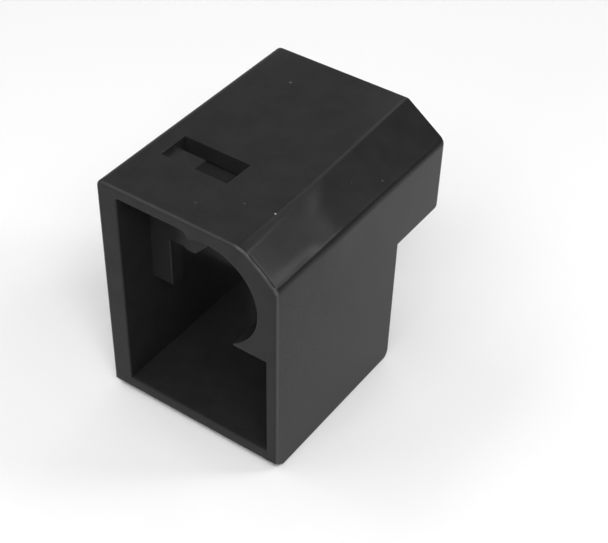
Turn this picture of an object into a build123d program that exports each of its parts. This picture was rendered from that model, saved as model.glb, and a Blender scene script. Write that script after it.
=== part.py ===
from build123d import *
from math import hypot, radians, tan
import os

# Sizes in millimetres. X runs across the plug, Y from the plug's contact end to its cable end, Z up.
# The origin is at the middle of the outline, on the surface that the housing stands on.

# The modular plug that the sleeve holds
plug_width = 11.68
plug_height = 7.3
plug_play_width = 0.12
plug_play_height = 0.13

# Walls
left_wall = 1.65
right_wall = 0.9
roof_wall = 0.86
rear_roof_wall = 1.27
floor_wall = 1.5
sloped_wall = 1.0

# Room above the plug's body, and the lengths from the front face
shoulder_room = 0.9
latch_room = 7.71
sleeve_length = 14.15
hood_length = 19.87
hood_wall_height = 8.15
rear_draft = 1.9

# The sloped corner between the roof and the right side
slope_drop = 2.22
slope_run_front = 2.75
slope_run_rear = 3.16
fold_radius_front = 1.8
fold_radius_rear = 0.45
fold_taper_length = 10.5
slope_foot_radius = 0.75

# Roundings of the outside
long_edge_radius = 0.5
floor_edge_radius = 0.15
front_edge_radius = 0.25
rear_edge_radius = 0.35
hood_corner_radius = 0.5
sleeve_corner_radius = 0.8
lead_depth = 0.95
lead_height = 0.65

# The keyhole in the front wall
bore_radius = 3.88
bore_offset = 1.33
bore_roof = 1.12
shoulder_offset = 1.85
pocket_corner_radius = 0.15
shoulder_run = 0.7
shoulder_drop = 0.75
shoulder_radius = 0.2
lip_radius = 0.12
keyhole_edge_radius = 0.12

# The latch stop behind the front wall
stop_setback = 3.05
stop_thickness = 1.05
post_width = 1.7
beam_reach = 4.95
beam_depth = 4.64
nose_reach = 3.8
nose_length = 0.95
nose_ramp = 0.3
nose_drop = 0.16
nose_rise = 1.2
beam_corner_radius = 0.4
stop_inner_radius = 0.15
stop_edge_radius = 0.1

# The release slot in the roof, and the tongue under it
slot_front = 4.62
slot_length = 2.45
slot_width = 5.4
slot_edge_radius = 0.08
tongue_inset = 1.56
tongue_gap = 0.2
tongue_thickness = 1.0
tongue_reach = 6.8

# Cutters run past the faces that they open by this much
overrun = 1.0

# A corner is found by its height, within this much
nearness = 0.01

passage_width = plug_width + plug_play_width
passage_height = plug_height + plug_play_height
outer_width = left_wall + passage_width + right_wall
outer_height = floor_wall + passage_height + shoulder_room + latch_room + roof_wall

left = -outer_width / 2
right = outer_width / 2
front = -hood_length / 2
rear = hood_length / 2
passage_left = left + left_wall
passage_right = right - right_wall
passage_bottom = floor_wall
passage_top = floor_wall + passage_height
lip_underside = passage_top + shoulder_room
roof_underside = outer_height - roof_wall
rear_roof_underside = outer_height - rear_roof_wall
stop_front = front + stop_setback
stop_rear = stop_front + stop_thickness


def upright_plane(y):
    """Plane across the sleeve at a place along it, with X to the right and Z up."""
    return Plane(origin=(0, y, 0), x_dir=(1, 0, 0), z_dir=(0, -1, 0))


def upright_block(x_low, x_high, y_low, y_high, z_low, z_high):
    """Block between two corners."""
    block = Box(x_high - x_low, y_high - y_low, z_high - z_low, align=(Align.MIN, Align.MIN, Align.MIN))
    return Pos(x_low, y_low, z_low) * block


def along_sleeve(section, y_low, y_high):
    """Solid with one section from one place along the sleeve to another."""
    return extrude(upright_plane(y_low) * section, amount=y_high - y_low, dir=(0, 1, 0))


def outer_section():
    """Outline of the housing seen from the front, before its upper right corner is sloped off."""
    corners = [
        (left, 0),
        (right, 0),
        (right, outer_height),
        (left, outer_height),
    ]
    radii = [floor_edge_radius, floor_edge_radius, 0, long_edge_radius]
    return make_face(FilletPolyline(*corners, radius=radii, close=True))


def slope_section(slope_run, fold_radius):
    """What the sloped corner takes away from the outline: a wedge with a rounded foot and head."""
    corners = [
        (right + overrun, outer_height + overrun),
        (right - slope_run - fold_radius, outer_height + overrun),
        (right - slope_run - fold_radius, outer_height),
        (right - slope_run, outer_height),
        (right, outer_height - slope_drop),
        (right, outer_height - slope_drop - slope_foot_radius),
        (right + overrun, outer_height - slope_drop - slope_foot_radius),
    ]
    radii = [0, 0, 0, fold_radius, slope_foot_radius, 0, 0]
    return make_face(FilletPolyline(*corners, radius=radii, close=True))


def side_outline():
    """Outline of the housing seen from the right: sleeve, hood behind it and lead-in under the front."""
    hood_underside = outer_height - hood_wall_height
    lean = tan(radians(rear_draft))
    hood_end = rear - lean * hood_wall_height
    sleeve_top_end = front + sleeve_length
    sleeve_end = sleeve_top_end - lean * hood_underside
    corners = [
        (front, lead_height),
        (front + lead_depth, 0),
        (sleeve_end, 0),
        (sleeve_top_end, hood_underside),
        (hood_end, hood_underside),
        (rear, outer_height),
        (front, outer_height),
    ]
    radii = [0, 0, sleeve_corner_radius, 0, hood_corner_radius, 0, 0]
    return make_face(FilletPolyline(*corners, radius=radii, close=True))


def end_edges(block):
    """Outside edges of the hood's cable end, apart from the rounded corners under it."""
    hood_end = block.faces().sort_by(Axis.Y)[-1]
    underside = hood_end.edges().sort_by(Axis.Z)[0]
    return [edge for edge in hood_end.edges() if edge != underside]


def outer_body():
    """Solid outside of the housing, before anything is hollowed."""
    block = along_sleeve(outer_section(), front, rear)
    slope_run_middle = slope_run_front + (slope_run_rear - slope_run_front) * fold_taper_length / hood_length
    slope_front = upright_plane(front) * slope_section(slope_run_front, fold_radius_front)
    slope_middle = upright_plane(front + fold_taper_length) * slope_section(slope_run_middle, fold_radius_rear)
    slope_rear = upright_plane(rear) * slope_section(slope_run_rear, fold_radius_rear)
    block -= loft([slope_front, slope_middle, slope_rear], ruled=True)
    front_face = block.faces().sort_by(Axis.Y)[0]
    block = fillet(front_face.edges(), front_edge_radius)
    profile = extrude(Plane.YZ * side_outline(), amount=outer_width, both=True)
    block = block & profile
    return fillet(end_edges(block), rear_edge_radius)


def front_opening():
    """Keyhole in the front wall: the latch pocket and the round bore, both open to the plug passage."""
    bore_x = (passage_left + passage_right) / 2 + bore_offset
    bore_z = outer_height - bore_roof - bore_radius
    pocket_right = bore_x - shoulder_offset
    pocket_corners = [
        (passage_left, passage_bottom),
        (pocket_right + shoulder_run, passage_bottom),
        (pocket_right + shoulder_run, roof_underside - shoulder_drop),
        (pocket_right, roof_underside),
        (passage_left, roof_underside),
    ]
    pocket_radii = [0, 0, 0, shoulder_radius, pocket_corner_radius]
    pocket = make_face(FilletPolyline(*pocket_corners, radius=pocket_radii, close=True))
    passage = Pos(passage_left, passage_bottom) * Rectangle(
        passage_width, lip_underside - passage_bottom, align=(Align.MIN, Align.MIN)
    )
    keyhole = pocket + Pos(bore_x, bore_z) * Circle(bore_radius) + passage
    under_lip = keyhole.vertices().filter_by_position(
        Axis.Y, lip_underside - nearness, lip_underside + nearness
    )
    lip_tip = under_lip.sort_by(Axis.X)[0]
    return fillet(lip_tip, lip_radius)


def keyhole_edges(body):
    """Edges of the keyhole on the front face."""
    front_face = body.faces().sort_by(Axis.Y)[0]
    return front_face.inner_wires()[0].edges()


def rear_room():
    """Section of the hollow behind the latch stop, a wall's thickness inside the outline."""
    slope_length = hypot(slope_run_rear, slope_drop)
    slope_foot = (sloped_wall * slope_length + slope_drop * (slope_run_rear - right_wall)) / slope_run_rear
    slope_head = slope_run_rear + (sloped_wall * slope_length - slope_run_rear * rear_roof_wall) / slope_drop
    corners = [
        (passage_left, passage_bottom),
        (passage_right, passage_bottom),
        (passage_right, outer_height - slope_foot),
        (right - slope_head, rear_roof_underside),
        (passage_left, rear_roof_underside),
    ]
    return make_face(Polyline(*corners, close=True))


def latch_stop():
    """Post and beam in the pocket that the plug's latch catches behind."""
    beam_underside = roof_underside - beam_depth
    post_right = passage_left + post_width
    beam_right = passage_left + beam_reach
    nose_underside = beam_underside - nose_drop
    nose_right = passage_left + nose_reach
    nose_left = nose_right - nose_length
    root = left_wall / 2
    corners = [
        (passage_left - root, passage_top),
        (post_right, passage_top),
        (post_right, beam_underside),
        (nose_left, beam_underside),
        (nose_left + nose_ramp, nose_underside),
        (nose_right, nose_underside),
        (beam_right, nose_underside + nose_rise),
        (beam_right, roof_underside + roof_wall / 2),
        (passage_left - root, roof_underside + roof_wall / 2),
    ]
    radii = [0, 0, stop_inner_radius, 0, 0, beam_corner_radius, beam_corner_radius, 0, 0]
    outline = make_face(FilletPolyline(*corners, radius=radii, close=True))
    stop = along_sleeve(outline, stop_front, stop_rear)
    return fillet(stop.faces().sort_by(Axis.Y)[0].edges(), stop_edge_radius)


def release_tongue():
    """Flat tongue that runs back from the stop, just under the roof."""
    top = rear_roof_underside - tongue_gap
    tongue_left = passage_left + tongue_inset
    tongue_right = passage_left + beam_reach
    return upright_block(
        tongue_left, tongue_right, stop_rear, stop_rear + tongue_reach, top - tongue_thickness, top
    )


def roof_slot():
    """Cutter for the slot through the roof."""
    slot_start = front + slot_front
    return upright_block(
        passage_left,
        passage_left + slot_width,
        slot_start,
        slot_start + slot_length,
        rear_roof_underside - tongue_gap / 2,
        outer_height + overrun,
    )


def slot_edges(body):
    """Edges of the release slot on the roof."""
    roof = body.faces().filter_by(Axis.Z).sort_by(Axis.Z)[-1]
    return roof.inner_wires()[0].edges()


def lock_housing():
    """The whole moulding."""
    body = outer_body()
    body -= along_sleeve(front_opening(), front - overrun, stop_rear)
    body = fillet(keyhole_edges(body), keyhole_edge_radius)
    body -= along_sleeve(rear_room(), stop_rear, rear + overrun)
    body += latch_stop()
    body += release_tongue()
    body -= roof_slot()
    return fillet(slot_edges(body), slot_edge_radius)


os.makedirs("parts", exist_ok=True)
housing = lock_housing()
export_step(housing, "parts/lock_housing.step")
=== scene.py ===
from math import cos, radians, sin

import bmesh
import bpy
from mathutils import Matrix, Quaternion, Vector


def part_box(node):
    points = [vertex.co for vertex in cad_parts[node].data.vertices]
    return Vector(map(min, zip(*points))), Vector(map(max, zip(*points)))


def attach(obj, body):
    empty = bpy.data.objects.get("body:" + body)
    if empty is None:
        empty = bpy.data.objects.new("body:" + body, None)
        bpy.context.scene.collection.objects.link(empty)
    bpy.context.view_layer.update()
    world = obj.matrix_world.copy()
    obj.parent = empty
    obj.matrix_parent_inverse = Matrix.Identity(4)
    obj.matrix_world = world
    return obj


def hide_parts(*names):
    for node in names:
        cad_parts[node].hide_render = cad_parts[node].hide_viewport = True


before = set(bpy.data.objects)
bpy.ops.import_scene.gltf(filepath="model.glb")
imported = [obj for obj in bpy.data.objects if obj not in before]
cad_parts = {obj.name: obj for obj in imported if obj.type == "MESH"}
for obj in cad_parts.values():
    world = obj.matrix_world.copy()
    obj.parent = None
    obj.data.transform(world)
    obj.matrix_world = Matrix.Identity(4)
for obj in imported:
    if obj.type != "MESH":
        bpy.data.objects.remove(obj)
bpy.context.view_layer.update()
housing_low, housing_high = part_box("lock_housing")

# Sizes are in metres, written as millimetres times this, and angles are in degrees
mm = 0.001

# Directions from the housing
rightwards = Vector((1, 0, 0))
forwards = Vector((0, -1, 0))
backwards = Vector((0, 1, 0))
upwards = Vector((0, 0, 1))

# The housing's outer faces, with the rear end where it would be without its rounding
front_face = housing_low.y
rear_end = -front_face
right_side = housing_high.x
roof = housing_high.z

# The camera that the photograph was taken with, its sensor's width in millimetres as Blender keeps
# it, and the nearest and farthest that it sees
photo_width = 608
focal_length_in_pixels = 1424.955
sensor_width = 36.0
camera_azimuth = 34.41
camera_elevation = 41.09
camera_roll = 1.15
camera_distance = 99.63 * mm
camera_aim = Vector((2.113, 0.240, 8.219)) * mm
camera_reach = (5 * mm, 5000 * mm)

# The housing's surface. Its tone comes from clouds and speckle, whose noise lies around a middle,
# and its fine relief from grain and ripple
weld_distance = 0.0005 * mm
sharp_angle = 40.0
plastic_dark = (0.0110, 0.0110, 0.0115, 1.0)
plastic_light = (0.0290, 0.0290, 0.0295, 1.0)
plastic_roughness = 0.2
roughness_spread = 0.04
plastic_ior = 1.46
plastic_shine = 0.12
mottle_size = 1.6 * mm
mottle_detail = 3.0
speckle_size = 0.12 * mm
speckle_share = 0.5
noise_middle = 0.5
grain_size = 0.07 * mm
grain_depth = 0.0022 * mm
ripple_size = 0.9 * mm
ripple_depth = 0.004 * mm

# The sloped corner's flat: a place on its fold at the roof, the way down it and the way out of it
slope_fold = Vector((4.32 * mm, 0, roof))
slope_down = Vector((0.8, 0, -0.6))
slope_out = Vector((0.6, 0, 0.8))

# A low wave across the flat, left by the moulding's shrinkage. Its crest runs down the flat at a
# place behind the front face, lies farther back beside the fold, and rises around the fold
wave_height = 0.07 * mm
wave_place = 7.0 * mm
wave_lag = 1.8 * mm
wave_lag_width = 1.4 * mm
wave_width = 1.5 * mm
wave_rise = (-0.9 * mm, 1.1 * mm)

# The flat's crowned foot, which turns down from a place on the flat and ends behind the front face
crown_start = 2.5 * mm
crown_width = 0.7 * mm
crown_height = 0.055 * mm
crown_end = (3.8 * mm, 5.2 * mm)

# The wave and the crown both fade out on the way down the flat
relief_fall = (2.0 * mm, 6.0 * mm)

# The grid that this relief is worked into: how far it reaches down across the sloped corner, how
# deep under the flat its faces lie, how far they face out of it, and its steps down and back
relief_reach = (-1.0 * mm, 6.2 * mm)
relief_under = -2.6 * mm
relief_facing = 0.5
relief_step_down = 0.15 * mm
relief_step_back = 0.4 * mm

# The front's rounded edge has a painted highlight, colour lighter along the roof, the sloped corner and
# the right side
# where the rounding catches the light: how deep behind the front face and how far inside each of those
# faces the painted highlight fades out
painted_highlight_colour = (0.075, 0.075, 0.077, 1.0)
painted_highlight_depth = (0.2 * mm, 0.27 * mm)
painted_highlight_band = (-0.35 * mm, -0.25 * mm)

# Each of those faces: a place on it, the way out of it, how strong the painted highlight on its edge
# is, how far the brightest part faces forwards, where 1 is straight, and how far on from there none is
# left
painted_highlight_edges = [
    (slope_fold, upwards, 0.5, 0.72, 0.28),
    (slope_fold, slope_out, 0.85, 0.65, 0.35),
    (right_side * rightwards, rightwards, 0.85, 0.48, 0.48),
]

# Pale specks of dust: how many radii out they end, and each one's place and radius in millimetres
# and strength
speck_colour = (0.55, 0.55, 0.55, 1.0)
speck_end = 1.5
specks = [
    ((4.14, -5.97, 18.4), 0.055, 1.0),
    ((-3.58, 6.42, 18.4), 0.09, 0.14),
    ((1.99, -6.31, 18.4), 0.06, 0.08),
    ((-0.53, -8.03, 18.4), 0.06, 0.08),
    ((6.52, 2.73, 16.67), 0.07, 0.08),
    ((5.52, 0.51, 17.43), 0.05, 0.06),
    ((7.17, -4.51, 14.26), 0.05, 0.08),
]

# The floor, which fades into the room between two distances from the object
floor_half_width = 600 * mm
floor_drop = 0.01 * mm
floor_colour = (0.94, 0.94, 0.94, 1.0)
floor_roughness = 0.9
floor_shine = 0.0
floor_fade = (90 * mm, 200 * mm)

# The room, as bright as white to the camera and without light for the object, which the panels light
room_colour = (1.0, 1.0, 1.0, 1.0)
room_seen = 1.0
room_light = 0.0

# Light panels around the object: name, azimuth from the front, elevation, width and height in
# millimetres, watts
panel_aim = Vector((0, 0, 8)) * mm
panel_distance = 250 * mm
panels = [
    ("front_low_panel", 0, 20, 110, 110, 0.060),
    ("front_panel", 0, 50, 110, 110, 0.130),
    ("key_panel", 45, 50, 110, 110, 0.300),
    ("right_panel", 90, 50, 110, 110, 0.060),
    ("slope_panel", 127, 33, 48, 66, 0.083),
    ("slope_edge_panel", 138, 33, 48, 66, 0.006),
    ("slope_upper_panel", 133, 48, 66, 60, 0.074),
    ("fold_panel", 152, 48, 56, 52, 0.012),
    ("fold_rear_panel", 169, 50, 56, 52, 0.012),
    ("rear_panel", 186, 50, 56, 52, 0.018),
    ("rear_wide_panel", 195, 36, 90, 70, 0.040),
    ("left_low_panel", 225, 20, 110, 110, 0.041),
    ("left_rear_panel", 225, 50, 110, 110, 0.020),
    ("left_panel", 270, 50, 110, 110, 0.116),
    ("left_front_panel", 310, 50, 110, 110, 0.090),
]


class Value:
    """A number that varies over a surface: a node's output, which Python's operators work on."""

    def __init__(self, recipe, socket):
        self.recipe = recipe
        self.socket = socket

    def __add__(self, other):
        return self.recipe.sum_of("ADD", self, other)

    def __radd__(self, other):
        return self.recipe.sum_of("ADD", other, self)

    def __sub__(self, other):
        return self.recipe.sum_of("SUBTRACT", self, other)

    def __rsub__(self, other):
        return self.recipe.sum_of("SUBTRACT", other, self)

    def __mul__(self, other):
        return self.recipe.sum_of("MULTIPLY", self, other)

    def __rmul__(self, other):
        return self.recipe.sum_of("MULTIPLY", other, self)

    def __truediv__(self, other):
        return self.recipe.sum_of("DIVIDE", self, other)

    def __rtruediv__(self, other):
        return self.recipe.sum_of("DIVIDE", other, self)


class Recipe:
    """The nodes of a material or of the room."""

    def __init__(self, holder):
        self.holder = holder
        self.holder.use_nodes = True
        self.tree = holder.node_tree
        self.tree.nodes.clear()

    def node(self, kind, settings=None, inputs=None):
        """A node of any type, its settings made first, and then the values or links of its sockets."""
        made = self.tree.nodes.new(kind)
        for name, value in (settings or {}).items():
            setattr(made, name, value)
        for name, value in (inputs or {}).items():
            self.feed(made.inputs[name], value)
        return made

    def feed(self, socket, value):
        """Link a socket to a value's output, or write a plain value on it."""
        if isinstance(value, Value):
            value = value.socket
        if isinstance(value, bpy.types.NodeSocket):
            self.tree.links.new(value, socket)
        else:
            socket.default_value = value

    def sum_of(self, operation, first, second):
        """One step of arithmetic."""
        made = self.node("ShaderNodeMath", {"operation": operation}, {0: first, 1: second})
        return Value(self, made.outputs[0])

    def vector_sum_of(self, operation, first, second):
        """The node of one step of arithmetic on vectors."""
        return self.node("ShaderNodeVectorMath", {"operation": operation}, {0: first, 1: second})

    def object_place(self):
        """Where on the object a point of its surface is."""
        return self.node("ShaderNodeTexCoord").outputs["Object"]

    def object_normal(self):
        """Which way the surface faces, turned with the object."""
        return self.node("ShaderNodeTexCoord").outputs["Normal"]

    def camera_ray(self):
        """1 to the camera's own rays, and 0 to all other light."""
        return Value(self, self.node("ShaderNodeLightPath").outputs["Is Camera Ray"])

    def noise(self, place, size, detail=2.0):
        """Cloudy noise whose clouds are about the given size."""
        made = self.node(
            "ShaderNodeTexNoise", inputs={"Vector": place, "Scale": 1 / size, "Detail": detail}
        )
        return Value(self, made.outputs["Fac"])

    def within(self, value):
        """The value, kept between 0 and 1."""
        made = self.node("ShaderNodeClamp", inputs={"Value": value})
        return Value(self, made.outputs[0])

    def step_up(self, value, low, high):
        """A smooth step from 0, where the value is low, to 1, where it is high."""
        made = self.node(
            "ShaderNodeMapRange",
            {"interpolation_type": "SMOOTHSTEP"},
            {"Value": value, "From Min": low, "From Max": high},
        )
        return Value(self, made.outputs["Result"])

    def part_along(self, vector, way):
        """How much of a vector goes one way."""
        return Value(self, self.vector_sum_of("DOT_PRODUCT", vector, way).outputs["Value"])

    def along(self, place, start, way):
        """How far a place lies from the start, measured one way."""
        from_start = self.vector_sum_of("SUBTRACT", place, start)
        return self.part_along(from_start.outputs["Vector"], way)

    def away(self, place, spot):
        """How far a place is from a spot."""
        return Value(self, self.vector_sum_of("DISTANCE", place, spot).outputs["Value"])

    def colour_between(self, share, first, second):
        """A colour that goes from the first to the second as the share goes from 0 to 1.

        The node's sockets for colours go by number, because other types' sockets have the same names.
        """
        made = self.node("ShaderNodeMix", {"data_type": "RGBA"}, {"Factor": share, 6: first, 7: second})
        return made.outputs[2]

    def shader_between(self, share, first, second):
        """A shader that goes from the first to the second as the share goes from 0 to 1."""
        made = self.node("ShaderNodeMixShader", inputs={"Fac": share, 1: first, 2: second})
        return made.outputs["Shader"]

    def finish(self, kind, shader):
        """The material or room, its shader connected to an output of the given type."""
        self.node(kind, inputs={"Surface": shader})
        return self.holder


def painted_edge_highlight(recipe, place):
    """How far the front's rounded edge is painted lighter: a painted highlight where its rounding
    catches the light.
    """
    facing = recipe.part_along(recipe.object_normal(), forwards)
    depth = recipe.along(place, front_face * backwards, backwards)
    highlight_share = 0.0
    for start, way, strength, middle, spread in painted_highlight_edges:
        at_edge = recipe.step_up(recipe.along(place, start, way), *painted_highlight_band)
        from_middle = (facing - middle) / spread
        highlight_share = highlight_share + strength * at_edge * recipe.within(1.0 - from_middle * from_middle)
    return recipe.within(highlight_share) * (1.0 - recipe.step_up(depth, *painted_highlight_depth))


def dust(recipe, place):
    """How much of the surface the pale specks cover."""
    cover = 0.0
    for spot, radius, strength in specks:
        away = recipe.away(place, Vector(spot) * mm)
        cover = cover + strength * recipe.within(speck_end - away / (radius * mm))
    return cover


def anthracite_plastic():
    """Dark grey moulded plastic with a satin face, a very fine grain and slight clouds of tone."""
    recipe = Recipe(bpy.data.materials.new("anthracite_plastic"))
    place = recipe.object_place()
    mottle = recipe.noise(place, mottle_size, mottle_detail)
    speckle = recipe.noise(place, speckle_size)
    grain = recipe.noise(place, grain_size)
    ripple = recipe.noise(place, ripple_size)
    relief = grain * grain_depth + ripple * ripple_depth
    bump = recipe.node("ShaderNodeBump", inputs={"Strength": 1.0, "Distance": 1.0, "Height": relief})
    tone = mottle * (1.0 - speckle_share) + speckle * speckle_share
    plastic = recipe.colour_between(tone, plastic_dark, plastic_light)
    # The front's rounded edge gets a painted highlight: lighter colour where its rounding catches the
    # light
    plastic = recipe.colour_between(painted_edge_highlight(recipe, place), plastic, painted_highlight_colour)
    shader = recipe.node(
        "ShaderNodeBsdfPrincipled",
        inputs={
            "Base Color": recipe.colour_between(dust(recipe, place), plastic, speck_colour),
            "Roughness": plastic_roughness + roughness_spread * (mottle - noise_middle),
            "IOR": plastic_ior,
            "Specular IOR Level": plastic_shine,
            "Normal": bump.outputs["Normal"],
        },
    )
    return recipe.finish("ShaderNodeOutputMaterial", shader.outputs["BSDF"])


def pale_floor():
    """Plain white paper, which the camera sees fade into the white room far from the object."""
    recipe = Recipe(bpy.data.materials.new("pale_floor"))
    paper = recipe.node(
        "ShaderNodeBsdfPrincipled",
        inputs={
            "Base Color": floor_colour,
            "Roughness": floor_roughness,
            "Specular IOR Level": floor_shine,
        },
    )
    glow = recipe.node("ShaderNodeEmission", inputs={"Color": room_colour, "Strength": room_seen})
    fade = recipe.step_up(recipe.away(recipe.object_place(), Vector((0, 0, 0))), *floor_fade)
    shader = recipe.shader_between(
        recipe.camera_ray() * fade, paper.outputs["BSDF"], glow.outputs["Emission"]
    )
    return recipe.finish("ShaderNodeOutputMaterial", shader)


def share_between(value, low, high):
    """How far the value is on its way from the low one, 0, to the high one, 1."""
    return min(max((value - low) / (high - low), 0.0), 1.0)


def smooth_step(value, low, high):
    """A smooth step from 0, where the value is low, to 1, where it is high."""
    share = share_between(value, low, high)
    return share * share * (3.0 - 2.0 * share)


def slope_relief(place):
    """Height of the low wave and of the crowned foot on the sloped corner's flat."""
    down = (place - slope_fold).dot(slope_down)
    back = place.y - front_face
    lag = wave_lag * (1.0 - share_between(down, 0.0, wave_lag_width))
    from_crest = (back - wave_place - lag) / wave_width
    wave = wave_height / (1.0 + from_crest * from_crest) * smooth_step(down, *wave_rise)
    over_crown = share_between(down, crown_start, crown_start + crown_width)
    crown = crown_height * over_crown * over_crown * (1.0 - smooth_step(back, *crown_end))
    return (wave - crown) * (1.0 - smooth_step(down, *relief_fall))


def outer_faces(shape):
    """The faces that look out of the sloped corner, however far they are from it."""
    return [face for face in shape.faces if face.normal.dot(slope_out) > relief_facing]


def relief_faces(shape):
    """The faces of the sloped corner and beside it that the relief lies on."""
    found = []
    for face in outer_faces(shape):
        middle = face.calc_center_median() - slope_fold
        on_reach = relief_reach[0] < middle.dot(slope_down) < relief_reach[1]
        if on_reach and middle.dot(slope_out) > relief_under:
            found.append(face)
    return found


def cut_faces(shape, faces, start, way):
    """Cut faces of a shape by a plane, given by a place on it and the way out of it."""
    edges = {edge for face in faces for edge in face.edges}
    corners = {corner for face in faces for corner in face.verts}
    bmesh.ops.bisect_plane(
        shape, geom=[*corners, *edges, *faces], dist=weld_distance, plane_co=start, plane_no=way
    )


def steps(low, high, step):
    """Places from the low one to the high one, a step apart."""
    count = round((high - low) / step)
    return [low + (high - low) * place / count for place in range(count + 1)]


def cut_grid(shape):
    """Cut the sloped corner into a grid, first at the ends of the relief's reach."""
    for down in relief_reach:
        cut_faces(shape, outer_faces(shape), slope_fold + slope_down * down, slope_down)
    for down in steps(*relief_reach, relief_step_down):
        cut_faces(shape, relief_faces(shape), slope_fold + slope_down * down, slope_down)
    for back in steps(front_face, rear_end, relief_step_back):
        cut_faces(shape, relief_faces(shape), back * backwards, backwards)


def raise_relief(shape):
    """Move the grid's corners out by the relief's height, and none of them along the housing."""
    ways = {}
    for face in relief_faces(shape):
        way = Vector((face.normal.x, 0, face.normal.z)) * face.calc_area()
        for corner in face.verts:
            ways[corner] = ways.get(corner, Vector((0, 0, 0))) + way
    for corner, way in ways.items():
        corner.co += way.normalized() * slope_relief(corner.co)
    shape.normal_update()


def scene_object(name, data):
    """A new object in the scene, at the origin."""
    made = bpy.data.objects.new(name, data)
    bpy.context.scene.collection.objects.link(made)
    return made


def plain_mesh(piece):
    """The piece with its modifiers worked into its mesh."""
    graph = bpy.context.evaluated_depsgraph_get()
    worked = bpy.data.meshes.new_from_object(piece.evaluated_get(graph))
    piece.modifiers.clear()
    piece.data = worked
    return piece


def smooth_roundings(shape):
    """Shade the faces smoothly across the edges that aren't sharp."""
    for face in shape.faces:
        face.smooth = True
    for edge in shape.edges:
        edge.smooth = edge.calc_face_angle() < radians(sharp_angle)


def housing_piece(node, material):
    """The moulding made from its CAD node's triangles, which are welded and lose their own normals."""
    shape = bmesh.new()
    shape.from_mesh(node.data)
    bmesh.ops.remove_doubles(shape, verts=shape.verts, dist=weld_distance)
    cut_grid(shape)
    raise_relief(shape)
    smooth_roundings(shape)
    mesh = bpy.data.meshes.new("housing_moulding")
    shape.to_mesh(mesh)
    shape.free()
    mesh.attributes.remove(mesh.attributes["custom_normal"])
    mesh.materials.append(material)
    piece = scene_object("housing_moulding", mesh)
    even_normals = piece.modifiers.new("even_normals", "WEIGHTED_NORMAL")
    even_normals.keep_sharp = True
    return plain_mesh(piece)


def direction(azimuth, elevation):
    """Direction from the object, with the azimuth from its front towards its right."""
    turn = radians(azimuth)
    lift = radians(elevation)
    return Vector((sin(turn) * cos(lift), -cos(turn) * cos(lift), sin(lift)))


def looking_object(name, data, aim, distance, azimuth, elevation):
    """A camera or lamp that looks at its aim from a distance."""
    made = scene_object(name, data)
    back = direction(azimuth, elevation)
    made.location = aim + distance * back
    made.rotation_mode = "QUATERNION"
    made.rotation_quaternion = (-back).to_track_quat("-Z", "Y")
    return made


def photo_camera():
    """The camera, at the photograph's viewing angle."""
    data = bpy.data.cameras.new("photo_camera")
    data.sensor_width = sensor_width
    data.lens = focal_length_in_pixels / photo_width * sensor_width
    data.clip_start, data.clip_end = camera_reach
    camera = looking_object(
        "photo_camera", data, camera_aim, camera_distance, camera_azimuth, camera_elevation
    )
    roll = Quaternion((0, 0, 1), radians(camera_roll))
    camera.rotation_quaternion = camera.rotation_quaternion @ roll
    bpy.context.scene.camera = camera


def light_panel(name, azimuth, elevation, width, height, watts):
    """A soft rectangular light that faces the object."""
    data = bpy.data.lights.new(name, "AREA")
    data.shape = "RECTANGLE"
    data.size = width * mm
    data.size_y = height * mm
    data.energy = watts
    looking_object(name, data, panel_aim, panel_distance, azimuth, elevation)


def studio_floor():
    """The pale floor under the object."""
    mesh = bpy.data.meshes.new("studio_floor")
    half = floor_half_width
    corners = [(-half, -half), (half, -half), (half, half), (-half, half)]
    mesh.from_pydata([(x, y, -floor_drop) for x, y in corners], [], [(0, 1, 2, 3)])
    mesh.materials.append(pale_floor())
    scene_object("studio_floor", mesh)


def studio_room():
    """A room that is white to the camera and dark to the object."""
    recipe = Recipe(bpy.data.worlds.new("studio_room"))
    seen = recipe.node("ShaderNodeBackground", inputs={"Color": room_colour, "Strength": room_seen})
    felt = recipe.node("ShaderNodeBackground", inputs={"Color": room_colour, "Strength": room_light})
    shader = recipe.shader_between(
        recipe.camera_ray(), felt.outputs["Background"], seen.outputs["Background"]
    )
    bpy.context.scene.world = recipe.finish("ShaderNodeOutputWorld", shader)


housing = housing_piece(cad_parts["lock_housing"], anthracite_plastic())
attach(housing, "root")
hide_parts("lock_housing")

studio_floor()
studio_room()
for panel in panels:
    light_panel(*panel)
photo_camera()
bpy.context.scene.view_settings.view_transform = "Standard"
